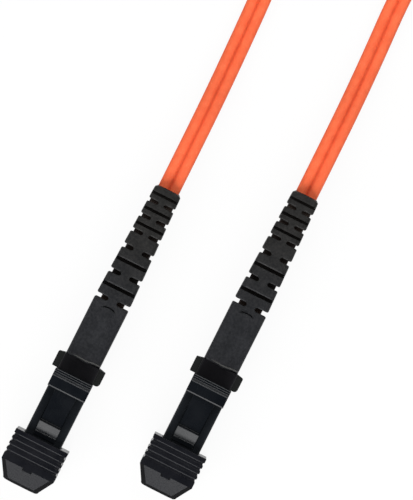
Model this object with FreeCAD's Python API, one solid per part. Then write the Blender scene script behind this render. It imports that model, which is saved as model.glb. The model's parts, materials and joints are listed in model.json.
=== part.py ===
import FreeCAD, Part
import math
import os

# Small-form duplex fibre patch cord: two latched plugs with dust caps, joined by one flat zip cord.
# Millimetres. +Z is up, +Y runs from the plugs' noses towards the cord, and z = 0 is the table.
# The plugs lie side by side with their latches up; the spare cord is a tied coil behind them.

# Placing of the two plugs
plug_spacing = 22.5
plug_stagger = 10.2

# Plug housing, measured along Y from its front face
plug_width = 7.15
plug_height = 5.65
plug_length = 19.8
plug_corner = 0.35
nose_bevel = 0.4
cavity_side_room = 0.2
cavity_top_room = 0.35
cavity_corner = 0.4
window_inset = 0.3
window_length = 2.0
window_height = 1.8

# Ferrule with its flange, and what rides behind it
ferrule_width = 4.4
ferrule_height = 2.5
ferrule_length = 8.0
ferrule_corner = 0.15
ferrule_stand_out = 0.5
flange_side_lip = 0.35
flange_top_lip = 0.4
flange_length = 1.8
guide_hole_diameter = 0.7
guide_hole_pitch = 2.6
fibre_diameter = 0.25
fibre_pitch = 0.75
fibre_tail = 28.4
sleeve_width = 1.6
sleeve_height = 1.4
sleeve_inside = 2.8
sleeve_outside = 2.2
glue_window_width = 2.4
glue_window_length = 1.7
glue_window_depth = 0.55
glue_window_start = 2.4
seat_length = 1.2

# Ferrule spring
spring_room = 0.17
spring_wire = 0.36
spring_turns = 5
spring_wire_sides = 6

# Back shell: spigot inside the housing, collar with grip ears, stem for the crimp
spigot_length = 4.3
collar_length = 3.1
collar_width = 6.9
collar_height = 5.4
collar_corner = 0.4
ear_span = 9.3
ear_height = 3.6
ear_fall = 0.4
ear_sweep = 0.25
ear_left_round = 0.15
ear_right_round = 0.65
ear_rear_round = 0.2
stem_diameter = 3.6
stem_length = 6.0
stem_rings = 2
stem_ring_depth = 0.12
stem_ring_width = 0.6
fibre_bore = 2.2
lug_reach = 0.6

# Crimp ring
crimp_start = 0.6
crimp_length = 5.0
crimp_wall = 0.45
yarn_gap = 0.12

# Latch lever, rooted at the front and sprung upwards
hinge_from_front = 7.7
hinge_below_top = 0.1
hinge_bead = 0.7
arm_width = 4.2
arm_thickness = 0.75
arm_slope_deg = 5.0
arm_clear = 0.05
ramp_from_root = 0.4
ramp_length = 1.95
ramp_height = 1.4
ramp_foot = 0.2
ramp_ease = 0.45
ramp_ease_rise = 0.1
shoulder_length = 0.35
shoulder_slant = 0.25
tab_width = 7.35
tab_length = 3.45
tab_thickness = 1.4
tab_bevel = 0.3
tab_bevel_drop = 0.19
tab_ridges = 4
tab_ridge_pitch = 0.38
tab_ridge_height = 0.12
tab_ridge_slope = 0.17
tab_rear_land = 0.1

# Dust cap
cap_latch_room = 0.35
cap_width = 10.36
cap_height = 8.4
cap_corner = 0.75
cap_front_wall = 1.5
cap_end_gap = 0.3
cap_nose_length = 3.0
cap_nose_width = 7.05
cap_nose_height = 4.4
cap_nose_corner = 0.85
cap_front_edge = 0.4
cap_groove_count = 4
cap_groove_pitch = 1.08
cap_groove_width = 0.68
cap_groove_depth = 0.25
cap_first_groove = 1.15
cap_pad_width = 1.58
cap_pad_depth = 0.5
cap_pad_reach = 0.45
cap_pad_length = 1.2

# Strain relief boot: plain box, then a tapering tail of alternating cuts
boot_width = 6.65
boot_height = 6.2
boot_corner = 0.9
boot_corner_flats = 2
boot_box_length = 11.6
boot_tail_length = 22.65
boot_end_width = 5.03
boot_end_height = 3.9
boot_end_round = 0.35
boot_lip = 0.35
boot_pocket = 6.9
bore_corner = 0.6
core_wall = 0.2
panel_width = 2.9
panel_height = 0.18
panel_length = 10.5
first_cut = 0.3
front_cuts = 5
front_cut_pitch = 2.5
front_side_slot = 0.78
front_cross_slot = 0.52
front_web = 1.7
rear_group = 13.18
rear_cuts = 6
rear_cut_pitch = 1.53
rear_side_slot = 0.62
rear_cross_slot = 0.4
rear_web = 1.05

# Zip cord: two round jackets joined by a thin web
jacket_diameter = 2.0
jacket_pitch = 2.06
web_thickness = 0.6
cord_start = 30.0

# Clearances, each on one side
sliding_gap = 0.05
cap_gap = 0.06
hinge_gap = 0.04
stop_gap = 0.03
seat_gap = 0.05
cord_gap = 0.06

# Coil of spare cord: two layers of three turns, the pair standing on edge
coil_centre = (-3.4, 110.0)
coil_columns = 3
coil_layers = 2
coil_mean_radius = 21.5
coil_column_pitch = 2.05
coil_bevel = 0.8
tie_bevel = 0.3
coil_slack = 0.2
tie_angle_deg = 90.0
tie_width = 6.0
tie_thickness = 0.5

# Where each lead of the cord goes after its boot, up to the coil
lead_a_route = [(-11.6, 50.0, 1.4), (-12.3, 68.0, 1.05), (-14.2, 82.0, 1.1)]
lead_b_route = [(10.95, 60.5, 1.4), (10.15, 76.0, 1.05), (11.2, 88.0, 2.2)]
lead_bend_past_boot = 9.0
arc_share = 0.45

# Places and sizes that several pieces share
axis_height = cap_height / 2
plug_top = axis_height + plug_height / 2
cap_open_end = hinge_from_front - hinge_bead / 2 - cap_latch_room
cap_inside = -ferrule_stand_out - cap_end_gap
cap_nose_y = cap_inside - cap_front_wall
flange_width = ferrule_width + 2 * flange_side_lip
flange_height = ferrule_height + 2 * flange_top_lip
cavity_width = flange_width + 2 * cavity_side_room
cavity_height = flange_height + 2 * cavity_top_room
flange_front = ferrule_length - ferrule_stand_out - flange_length
ferrule_rear = ferrule_length - ferrule_stand_out
stop_y = flange_front - stop_gap
seat_rear = ferrule_rear + seat_length
spigot_front = plug_length - spigot_length
window_start = spigot_front + window_inset
window_end = window_start + window_length
collar_rear = plug_length + collar_length
boot_front = collar_rear
tail_start = boot_front + boot_box_length
boot_end = tail_start + boot_tail_length
cord_width = jacket_pitch + jacket_diameter
crimp_outside = stem_diameter + 2 * (yarn_gap + crimp_wall)
hinge_z = plug_top - hinge_below_top
ramp_start = hinge_from_front + ramp_from_root
ramp_end = ramp_start + ramp_length
coil_radial = (coil_columns - 1) * coil_column_pitch + jacket_diameter + 2 * coil_slack
coil_height = coil_layers * cord_width + coil_slack
coil_outer_turn = coil_mean_radius + (coil_columns - 1) / 2 * coil_column_pitch
whole_length = boot_end - cap_nose_y + plug_stagger
front_a = -whole_length / 2 - cap_nose_y
front_b = front_a + plug_stagger
plugs = {"a": (-plug_spacing / 2, front_a), "b": (plug_spacing / 2, front_b)}


def vec(x, y, z):
    return FreeCAD.Vector(x, y, z)


def block(x0, x1, y0, y1, z0, z1):
    """A box from its six limits."""
    return Part.makeBox(x1 - x0, y1 - y0, z1 - z0, vec(x0, y0, z0))


def rounded_outline(width, height, radius, y):
    """A rounded rectangle across the axis at y, centred on it."""
    w, h = width / 2, height / 2
    inner = 1 - math.sqrt(0.5)
    corners = [(w, h), (-w, h), (-w, -h), (w, -h)]
    edges = []
    ends = []
    for k, (cx, cz) in enumerate(corners):
        sx, sz = math.copysign(1, cx), math.copysign(1, cz)
        along_x = vec(cx - sx * radius, y, axis_height + cz)
        along_z = vec(cx, y, axis_height + cz - sz * radius)
        middle = vec(cx - sx * radius * inner, y, axis_height + cz - sz * radius * inner)
        first, last = (along_z, along_x) if k % 2 == 0 else (along_x, along_z)
        ends.append((first, last))
        edges.append(Part.Arc(first, middle, last).toShape())
    joined = []
    for k, edge in enumerate(edges):
        joined.append(edge)
        joined.append(Part.LineSegment(ends[k][1], ends[(k + 1) % 4][0]).toShape())
    return Part.Wire(joined)


def bevelled_outline(width, height, bevel, y, facets=1):
    """A rectangle with its corners cut in a number of flats, across the axis at y."""
    w, h = width / 2 - bevel, height / 2 - bevel
    turns = [math.pi / 2 * k / facets for k in range(facets + 1)]
    quarter = [(w + bevel * math.cos(t), h + bevel * math.sin(t)) for t in turns]
    half = quarter + [(-x, z) for x, z in reversed(quarter)]
    ring = half + [(-x, -z) for x, z in half]
    points = [vec(x, y, axis_height + z) for x, z in ring]
    return Part.makePolygon(points + points[:1])


def prism(width, height, radius, y0, y1):
    """A rounded bar along the axis."""
    return Part.Face(rounded_outline(width, height, radius, y0)).extrude(vec(0, y1 - y0, 0))


def bevelled_bar(width, height, bevel, y0, y1, facets=1):
    """A bar along the axis with flats along its corners."""
    outline = bevelled_outline(width, height, bevel, y0, facets)
    return Part.Face(outline).extrude(vec(0, y1 - y0, 0))


def taper(first, last):
    """A straight-sided solid between two outlines."""
    return Part.makeLoft([first, last], True, True)


def round_bar(diameter, y0, y1, x=0.0):
    """A cylinder along the axis, x to its side."""
    return Part.makeCylinder(diameter / 2, y1 - y0, vec(x, y0, axis_height), vec(0, 1, 0))


def cross_bar(diameter, width, y, z):
    """A cylinder across the plug, centred on it."""
    return Part.makeCylinder(diameter / 2, width, vec(-width / 2, y, z), vec(1, 0, 0))


def side_profile(points, width):
    """A closed outline of (y, z) points carried across the plug, centred on it."""
    corners = [vec(-width / 2, y, z) for y, z in points]
    return Part.Face(Part.makePolygon(corners + corners[:1])).extrude(vec(width, 0, 0))


def plug_housing():
    """Hollow moulded nose: guides the ferrule, holds the spring and takes the back shell's lugs."""
    nose = taper(
        rounded_outline(plug_width - nose_bevel, plug_height - nose_bevel, plug_corner, 0),
        rounded_outline(plug_width, plug_height, plug_corner, nose_bevel),
    )
    body = nose.fuse(prism(plug_width, plug_height, plug_corner, nose_bevel, plug_length))
    ferrule_way = bevelled_bar(
        ferrule_width + 2 * sliding_gap, ferrule_height + 2 * sliding_gap, ferrule_corner, 0, stop_y
    )
    cavity = bevelled_bar(cavity_width, cavity_height, cavity_corner, stop_y, plug_length)
    low = axis_height - window_height / 2
    windows = block(-plug_width, plug_width, window_start, window_end, low, low + window_height)
    groove = cross_bar(
        hinge_bead + 2 * hinge_gap, arm_width + 2 * hinge_gap, hinge_from_front, hinge_z
    )
    return body.cut(ferrule_way).cut(cavity).cut(windows).cut(groove).removeSplitter()


def latch_lever():
    """Ramp, locking shoulder, arm and ridged finger tab on a round root."""
    rise = math.tan(math.radians(arm_slope_deg))

    def under(y):
        return plug_top + arm_clear + (y - hinge_from_front) * rise

    shoulder = ramp_end + shoulder_length
    tab_front = plug_length + stop_gap - tab_length
    tab_rear = plug_length + stop_gap
    root = hinge_from_front
    arm = side_profile(
        [
            (root, under(root)),
            (tab_front + tab_bevel, under(tab_front + tab_bevel)),
            (tab_front + tab_bevel, under(tab_front + tab_bevel) + arm_thickness),
            (shoulder, under(shoulder) + arm_thickness),
            (shoulder - shoulder_slant, plug_top + ramp_height),
            (ramp_end, plug_top + ramp_height),
            (ramp_start + ramp_ease, plug_top + ramp_foot + ramp_ease_rise),
            (ramp_start, plug_top + ramp_foot),
            (root, plug_top + ramp_foot),
        ],
        arm_width,
    )
    top = [
        (tab_front, under(tab_front) + tab_thickness - tab_bevel_drop),
        (tab_front + tab_bevel, under(tab_front) + tab_thickness),
    ]
    for k in range(tab_ridges):
        crest = tab_rear - tab_rear_land - (tab_ridges - 1 - k) * tab_ridge_pitch
        foot = crest - tab_ridge_slope
        top.append((foot, under(foot) + tab_thickness))
        top.append((crest, under(crest) + tab_thickness + tab_ridge_height))
    top.append((tab_rear, under(tab_rear) + tab_thickness + tab_ridge_height))
    tab = side_profile([(tab_front, under(tab_front))] + top + [(tab_rear, under(tab_rear))], tab_width)
    bead = cross_bar(hinge_bead, arm_width, hinge_from_front, hinge_z)
    return arm.fuse([tab, bead]).removeSplitter()


def ferrule():
    """Rectangular two-fibre ferrule with its rear flange, guide holes and glue window."""
    body = bevelled_bar(ferrule_width, ferrule_height, ferrule_corner, -ferrule_stand_out, ferrule_rear)
    flange = bevelled_bar(flange_width, flange_height, ferrule_corner, flange_front, ferrule_rear)
    pocket = bevelled_bar(
        sleeve_width + 2 * sliding_gap,
        sleeve_height + 2 * sliding_gap,
        cavity_corner,
        ferrule_rear - sleeve_inside,
        ferrule_rear,
    )
    window = block(
        -glue_window_width / 2,
        glue_window_width / 2,
        glue_window_start,
        glue_window_start + glue_window_length,
        axis_height + ferrule_height / 2 - glue_window_depth,
        axis_height + ferrule_height / 2,
    )
    shape = body.fuse(flange).removeSplitter().cut(pocket).cut(window)
    for side in (-0.5, 0.5):
        guide = round_bar(
            guide_hole_diameter, -ferrule_stand_out, ferrule_rear, side * guide_hole_pitch
        )
        fibre = round_bar(
            fibre_diameter + sliding_gap, -ferrule_stand_out, ferrule_rear, side * fibre_pitch
        )
        shape = shape.cut(guide).cut(fibre)
    return shape


def ferrule_sleeve():
    """Soft sleeve in the ferrule's rear that leads the two fibres in."""
    start = ferrule_rear - sleeve_inside + sliding_gap
    shape = bevelled_bar(
        sleeve_width, sleeve_height, cavity_corner, start, ferrule_rear + sleeve_outside
    )
    for side in (-0.5, 0.5):
        hole = round_bar(
            fibre_diameter + sliding_gap, start, ferrule_rear + sleeve_outside, side * fibre_pitch
        )
        shape = shape.cut(hole)
    return shape


def spring_seat():
    """Plate on the ferrule's back that the spring pushes on."""
    plate = bevelled_bar(flange_width, flange_height, cavity_corner, ferrule_rear, seat_rear)
    way = bevelled_bar(
        sleeve_width + 2 * sliding_gap,
        sleeve_height + 2 * sliding_gap,
        cavity_corner,
        ferrule_rear,
        seat_rear,
    )
    return plate.cut(way)


def fibre_pair():
    """The two coated fibres, from the ferrule's face to the end of the cord's jackets."""
    fibres = [
        round_bar(fibre_diameter, -ferrule_stand_out, fibre_tail, side * fibre_pitch)
        for side in (-0.5, 0.5)
    ]
    return Part.makeCompound(fibres)


def ferrule_spring():
    """Round compression spring between the seat and the back shell's spigot."""
    room = spigot_front - seat_rear - spring_wire - 2 * stop_gap
    radius = cavity_height / 2 - spring_room - spring_wire / 2
    helix = Part.makeHelix(room / spring_turns, room, radius)
    turns = [2 * math.pi * k / spring_wire_sides for k in range(spring_wire_sides + 1)]
    half = spring_wire / 2
    section = Part.makePolygon(
        [vec(radius + half * math.cos(t), 0, half * math.sin(t)) for t in turns]
    )
    coil = Part.Wire(helix).makePipeShell([section], True, True)
    coil.rotate(vec(0, 0, 0), vec(1, 0, 0), -90)
    coil.translate(vec(0, seat_rear + stop_gap + spring_wire / 2, axis_height))
    return coil


def grip_ears():
    """Two ears beside the collar, swept at the rear, with tops and undersides that fall away outwards."""
    tip, root = ear_span / 2, collar_width / 2
    swept = collar_rear - ear_sweep
    plan = [
        (-tip, plug_length),
        (tip, plug_length),
        (tip, swept),
        (root, collar_rear),
        (-root, collar_rear),
        (-tip, swept),
    ]
    floor = [vec(x, y, axis_height - ear_height / 2) for x, y in plan]
    slab = Part.Face(Part.makePolygon(floor + floor[:1])).extrude(vec(0, 0, ear_height))
    rounds = {
        (-tip, plug_length): ear_left_round,
        (tip, plug_length): ear_right_round,
        (-tip, swept): ear_rear_round,
        (tip, swept): ear_rear_round,
    }
    for (x, y), radius in rounds.items():
        line = Part.Vertex(x, y, axis_height)
        slab = slab.makeFillet(radius, [e for e in slab.Edges if e.distToShape(line)[0] < seat_gap])
    half, fallen = ear_height / 2, ear_height / 2 - ear_fall
    upper = [(tip, fallen), (root, half), (-root, half), (-tip, fallen)]
    ring = upper + [(-x, -z) for x, z in upper]
    wall = [vec(x, plug_length, axis_height + z) for x, z in ring]
    sloped = Part.Face(Part.makePolygon(wall + wall[:1])).extrude(vec(0, collar_length, 0))
    return slab.common(sloped)


def back_shell():
    """Spigot with snap lugs, collar with grip ears, and a ringed stem for the crimp."""
    spigot = bevelled_bar(
        cavity_width - 2 * sliding_gap,
        cavity_height - 2 * sliding_gap,
        cavity_corner,
        spigot_front,
        plug_length,
    )
    collar = prism(collar_width, collar_height, collar_corner, plug_length, collar_rear)
    stem = round_bar(stem_diameter, collar_rear, collar_rear + stem_length)
    pitch = crimp_length / (stem_rings + 1)
    for k in range(stem_rings):
        middle = collar_rear + crimp_start + (k + 1) * pitch
        outside = round_bar(stem_diameter, middle - stem_ring_width / 2, middle + stem_ring_width / 2)
        core = round_bar(
            stem_diameter - 2 * stem_ring_depth,
            middle - stem_ring_width / 2,
            middle + stem_ring_width / 2,
        )
        stem = stem.cut(outside.cut(core))
    lug_half = cavity_width / 2 + lug_reach
    lug_low = axis_height - window_height / 2 + sliding_gap
    lug_high = axis_height + window_height / 2 - sliding_gap
    lug = block(
        -lug_half, lug_half, window_start + sliding_gap, window_end - sliding_gap, lug_low, lug_high
    )
    bore = round_bar(fibre_bore, spigot_front, collar_rear + stem_length)
    return spigot.fuse([collar, grip_ears(), stem, lug]).removeSplitter().cut(bore)


def crimp_ring():
    """Metal ring that grips the cord's yarn on the stem."""
    start = collar_rear + crimp_start
    inside = stem_diameter + 2 * yarn_gap
    ring = round_bar(crimp_outside, start, start + crimp_length)
    return ring.cut(round_bar(inside, start, start + crimp_length))


def cap_outlines():
    """Outlines of the dust cap from its open end to its nose, through each finger groove."""
    plain = (cap_width, cap_height, cap_corner)
    sunk = (cap_width - 2 * cap_groove_depth, cap_height - 2 * cap_groove_depth, cap_corner)
    stops = [(cap_open_end, plain)]
    for k in range(cap_groove_count):
        middle = cap_open_end - cap_first_groove - k * cap_groove_pitch
        stops.append((middle + cap_groove_width / 2, plain))
        stops.append((middle, sunk))
        stops.append((middle - cap_groove_width / 2, plain))
    nose_base = cap_nose_y + cap_front_edge + cap_nose_length
    nose = (cap_nose_width, cap_nose_height, cap_nose_corner)
    tip = (cap_nose_width - cap_front_edge, cap_nose_height - cap_front_edge, cap_nose_corner)
    stops.append((nose_base, plain))
    stops.append((cap_nose_y + cap_front_edge, nose))
    stops.append((cap_nose_y, tip))
    return [bevelled_outline(*size, y) for y, size in stops]


def dust_cap():
    """Moulded cap with finger grooves all round and a sloping nose, hollow for the plug."""
    outside = Part.makeLoft(cap_outlines(), True, True)
    nose_base = cap_nose_y + cap_front_edge + cap_nose_length
    top = axis_height + cap_height / 2
    pad = block(
        -cap_pad_width / 2,
        cap_pad_width / 2,
        nose_base - cap_pad_reach,
        nose_base - cap_pad_reach + cap_pad_length,
        top - cap_pad_depth,
        top,
    )
    hollow = prism(
        plug_width + 2 * cap_gap,
        plug_height + 2 * cap_gap,
        plug_corner,
        cap_inside,
        cap_open_end,
    )
    return outside.fuse(pad).removeSplitter().cut(hollow)


def boot_size(y):
    """Width and height of the boot at y along the axis."""
    share = min(max((y - tail_start) / boot_tail_length, 0), 1)
    width = boot_width + (boot_end_width - boot_width) * share
    height = boot_height + (boot_end_height - boot_height) * share
    return width, height


def side_slots(y, slot, web):
    """A pair of cuts with bevelled ends from both sides that leave a web above and below."""
    width, height = boot_size(y)
    low = axis_height - height
    bevel = slot / 3
    half = [(width, slot / 2), (web / 2 + bevel, slot / 2), (web / 2, slot / 2 - bevel)]
    outline = half + [(x, -across) for x, across in reversed(half)]
    cuts = []
    for side in (-1, 1):
        points = [vec(side * x, y + across, low) for x, across in outline]
        cuts.append(Part.Face(Part.makePolygon(points + points[:1])).extrude(vec(0, 0, 2 * height)))
    return cuts


def cross_slots(y, slot):
    """Cuts right across the top and the bottom, down to the cord, that leave a web at each side."""
    width, height = boot_size(y)
    depth = jacket_diameter / 2
    upper = block(-width, width, y - slot / 2, y + slot / 2, axis_height + depth, axis_height + height)
    lower = block(-width, width, y - slot / 2, y + slot / 2, axis_height - height, axis_height - depth)
    return [upper, lower]


def strain_relief_boot():
    """Soft boot: box over the crimp, raised panel, and a tail cut from alternate sides round a thin sleeve."""

    def outline(width, height, y):
        return bevelled_outline(width, height, boot_corner, y, boot_corner_flats)

    tail_round = boot_end - boot_end_round
    skin = Part.makeLoft(
        [
            outline(boot_width, boot_height - 2 * boot_lip, boot_front),
            outline(boot_width, boot_height, boot_front + boot_lip),
            outline(boot_width, boot_height, tail_start),
            outline(boot_end_width, boot_end_height, tail_round),
            outline(boot_end_width - boot_end_round, boot_end_height - boot_end_round, boot_end),
        ],
        True,
        True,
    )
    top = axis_height + boot_height / 2
    panel_end = boot_front + panel_length - panel_width / 2
    panel_start = boot_front + boot_lip
    half = panel_width / 2
    panel = block(-half, half, panel_start, panel_end, top - boot_lip, top + panel_height)
    round_end = Part.makeCylinder(
        panel_width / 2, boot_lip + panel_height, vec(0, panel_end, top - boot_lip)
    )
    shape = skin.fuse([panel, round_end]).removeSplitter()
    cuts = []
    for k in range(front_cuts):
        y = tail_start + first_cut + k * front_cut_pitch
        from_sides = k % 2 == 0
        cuts += side_slots(y, front_side_slot, front_web) if from_sides else cross_slots(y, front_cross_slot)
    for k in range(rear_cuts):
        y = tail_start + first_cut + rear_group + k * rear_cut_pitch
        from_sides = k % 2 == 0
        cuts += side_slots(y, rear_side_slot, rear_web) if from_sides else cross_slots(y, rear_cross_slot)
    for cut in cuts:
        shape = shape.cut(cut)

    def round_cord(wall, y0, y1):
        room = 2 * (cord_gap + wall)
        width, height = cord_width + room, jacket_diameter + room
        return bevelled_bar(width, height, bore_corner + wall, y0, y1, boot_corner_flats)

    pocket_end = boot_front + boot_pocket
    shape = shape.fuse(round_cord(core_wall, pocket_end, tail_round)).removeSplitter()
    pocket = round_bar(crimp_outside + 2 * seat_gap, boot_front, pocket_end)
    return shape.cut(pocket).cut(round_cord(0, boot_front, boot_end))


def cord_section(start, ahead):
    """The pair's outline at a point, flat side down, facing along a direction."""
    across = vec(0, 0, 1).cross(ahead).normalize() * -1
    up = across.cross(ahead)
    radius = jacket_diameter / 2
    notch_z = web_thickness / 2
    notch_x = jacket_pitch / 2 - math.sqrt(radius**2 - notch_z**2)

    def at(x, z):
        return start + across * x + up * z

    right = Part.Arc(at(notch_x, notch_z), at(cord_width / 2, 0), at(notch_x, -notch_z))
    left = Part.Arc(at(-notch_x, -notch_z), at(-cord_width / 2, 0), at(-notch_x, notch_z))
    below = Part.LineSegment(at(notch_x, -notch_z), at(-notch_x, -notch_z))
    above = Part.LineSegment(at(-notch_x, notch_z), at(notch_x, notch_z))
    return Part.Face(Part.Wire([e.toShape() for e in (right, below, left, above)]))


def cord_run(points):
    """Straight runs joined by tangent arcs; gives the solid, its length and its bend radii."""
    corners = [vec(*p) for p in points]
    legs = [b - a for a, b in zip(corners, corners[1:])]
    ways = [vec(*leg).normalize() for leg in legs]
    here = corners[0]
    face = cord_section(here, ways[0])
    pieces, length, radii = [], 0.0, []
    for k, way in enumerate(ways):
        trim = 0.0
        if k + 1 < len(ways):
            trim = arc_share * min(legs[k].Length, legs[k + 1].Length)
        run = corners[k + 1] - way * trim - here
        pieces.append(face.extrude(run))
        face.translate(run)
        length += run.Length
        here = here + run
        if trim:
            turn = way.getAngle(ways[k + 1])
            radius = trim / math.tan(turn / 2)
            axis = way.cross(ways[k + 1]).normalize()
            centre = here + axis.cross(way) * radius
            pieces.append(face.revolve(centre, axis, math.degrees(turn)))
            face.rotate(centre, axis, math.degrees(turn))
            here = corners[k + 1] + ways[k + 1] * trim
            length += radius * turn
            radii.append(radius)
    return pieces[0].fuse(pieces[1:]).removeSplitter(), length, radii


def tangent_point(x, y, side):
    """Where a line from (x, y) touches the coil's outer turn, on its left (-1) or right (1)."""
    dx, dy = x - coil_centre[0], y - coil_centre[1]
    angle = math.atan2(dy, dx) + side * math.acos(coil_outer_turn / math.hypot(dx, dy))
    return (
        coil_centre[0] + coil_outer_turn * math.cos(angle),
        coil_centre[1] + coil_outer_turn * math.sin(angle),
    )


def lead_points(name, route, side, layer):
    """A lead from its crimp, out of its boot, along its route to a layer of the coil."""
    x, front = plugs[name]
    inside = (x, front + cord_start, axis_height)
    mouth = (x, front + boot_end + lead_bend_past_boot, axis_height)
    z = (layer + 0.5) * coil_height / coil_layers
    return [inside, mouth] + route + [tangent_point(*route[-1][:2], side) + (z,)]


def coil_ring(inner, outer, low, high, corner, start_deg, sweep_deg):
    """A ring, or part of one, with bevelled corners to its section, about the coil's centre."""
    lower = [(inner, low + corner), (inner + corner, low), (outer - corner, low), (outer, low + corner)]
    points = lower + [(x, low + high - z) for x, z in reversed(lower)]
    wire = Part.makePolygon([vec(x, 0, z) for x, z in points + points[:1]])
    solid = Part.Face(wire).revolve(vec(0, 0, 0), vec(0, 0, 1), sweep_deg)
    solid.rotate(vec(0, 0, 0), vec(0, 0, 1), start_deg)
    solid.translate(vec(coil_centre[0], coil_centre[1], 0))
    return solid


def coil_and_tie():
    """The wound spare cord as one ring, and the strap round it, let into its underside."""
    inner = coil_mean_radius - coil_radial / 2
    outer = coil_mean_radius + coil_radial / 2
    ring = coil_ring(inner, outer, 0, coil_height, coil_bevel, 0, 360)
    sweep = math.degrees(tie_width / coil_mean_radius)
    start = tie_angle_deg - sweep / 2
    top = coil_height + tie_thickness
    strap = coil_ring(
        inner - tie_thickness,
        outer + tie_thickness,
        0,
        top + tie_thickness,
        tie_bevel + tie_thickness,
        start,
        sweep,
    )
    opening = coil_ring(inner, outer, tie_thickness, top, tie_bevel, start, sweep)
    tie = strap.cut(opening)
    return ring.cut(tie), tie


def save(shape, name):
    shape.exportStep("parts/" + name + ".step")


def place(shape, name):
    """One plug's piece at its place on the table."""
    x, front = plugs[name]
    moved = shape.copy()
    moved.translate(vec(x, front, 0))
    return moved


os.makedirs("parts", exist_ok=True)
pieces = {
    "dust_cap": dust_cap(),
    "plug_housing": plug_housing(),
    "latch_lever": latch_lever(),
    "ferrule": ferrule(),
    "ferrule_sleeve": ferrule_sleeve(),
    "spring_seat": spring_seat(),
    "fibre_pair": fibre_pair(),
    "ferrule_spring": ferrule_spring(),
    "back_shell": back_shell(),
    "crimp_ring": crimp_ring(),
    "strain_relief_boot": strain_relief_boot(),
}
for name in plugs:
    for piece, shape in pieces.items():
        save(place(shape, name), piece + "_" + name)

coil, tie = coil_and_tie()
save(coil, "cord_coil")
save(tie, "coil_tie")
section_area = cord_section(vec(0, 0, 0), vec(0, 1, 0)).Area
for name, route, side, layer in (("a", lead_a_route, -1, 0), ("b", lead_b_route, 1, 1)):
    lead, length, radii = cord_run(lead_points(name, route, side, layer))
    print("cord lead", name, "bend radii", [round(r, 1) for r in radii], "length", round(length, 1))
    share = lead.Volume / (section_area * length)
    print("cord lead", name, "volume over section times length", round(share, 5))
    save(lead.cut(coil), "cord_lead_" + name)
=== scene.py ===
import json
import math

import bmesh
import bpy
import numpy as np
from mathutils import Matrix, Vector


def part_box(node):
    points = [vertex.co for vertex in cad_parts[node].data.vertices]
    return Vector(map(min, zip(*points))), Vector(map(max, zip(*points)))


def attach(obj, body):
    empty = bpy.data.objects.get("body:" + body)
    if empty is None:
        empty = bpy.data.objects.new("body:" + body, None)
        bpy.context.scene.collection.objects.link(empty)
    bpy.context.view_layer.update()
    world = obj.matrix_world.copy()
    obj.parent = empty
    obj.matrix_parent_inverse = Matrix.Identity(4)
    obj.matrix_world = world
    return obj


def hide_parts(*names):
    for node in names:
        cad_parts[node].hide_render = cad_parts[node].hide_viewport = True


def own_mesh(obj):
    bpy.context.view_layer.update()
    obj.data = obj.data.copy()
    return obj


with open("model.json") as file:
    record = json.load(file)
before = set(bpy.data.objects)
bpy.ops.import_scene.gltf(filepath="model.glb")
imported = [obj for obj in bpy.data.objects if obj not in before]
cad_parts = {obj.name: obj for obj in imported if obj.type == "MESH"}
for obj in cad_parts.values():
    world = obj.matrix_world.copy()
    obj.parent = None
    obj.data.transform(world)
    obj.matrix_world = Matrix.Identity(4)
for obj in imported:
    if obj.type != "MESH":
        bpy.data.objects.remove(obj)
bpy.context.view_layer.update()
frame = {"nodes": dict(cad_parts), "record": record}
nodes = frame["nodes"]
mm = 0.001
scene = bpy.context.scene
scene.view_settings.view_transform = "Standard"
print("frame loaded,", len(nodes), "nodes")


# Camera: looks straight down, turned so that the plugs point to the lower left
view = dict(
    picture=(413, 500),  # pixels
    pixel=0.179 * mm,  # size of a pixel at the plugs
    middle=(-0.37 * mm, 18.03 * mm, 6.0 * mm),  # what the picture's middle shows
    turn=26.7,  # degrees about the upright axis
    distance=0.7,
)


def makeCamera():
    # the lens is the half sensor times distance over half of the picture's long side
    data = bpy.data.cameras.new("camera")
    camera = bpy.data.objects.new("camera", data)
    scene.collection.objects.link(camera)
    halfLong = view["pixel"] * max(view["picture"]) / 2
    data.lens = data.sensor_width / 2 * view["distance"] / halfLong
    x, y, z = view["middle"]
    camera.location = (x, y, z + view["distance"])
    camera.rotation_euler = (0, 0, math.radians(view["turn"]))
    scene.camera = camera


makeCamera()
print("camera placed")


# Shader tools
class Wire:
    # a socket that can be added, taken away and multiplied, with a number on either side
    def __init__(self, finish, socket):
        self.finish = finish
        self.socket = socket

    def math(self, operation, first, second=0):
        return self.finish.add("ShaderNodeMath", dict(operation=operation), {0: first, 1: second})

    def __add__(self, other):
        return self.math("ADD", self, other)

    def __sub__(self, other):
        return self.math("SUBTRACT", self, other)

    def __rsub__(self, other):
        return self.math("SUBTRACT", other, self)

    def __mul__(self, other):
        return self.math("MULTIPLY", self, other)

    def __abs__(self):
        return self.math("ABSOLUTE", self)

    __radd__ = __add__
    __rmul__ = __mul__


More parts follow.
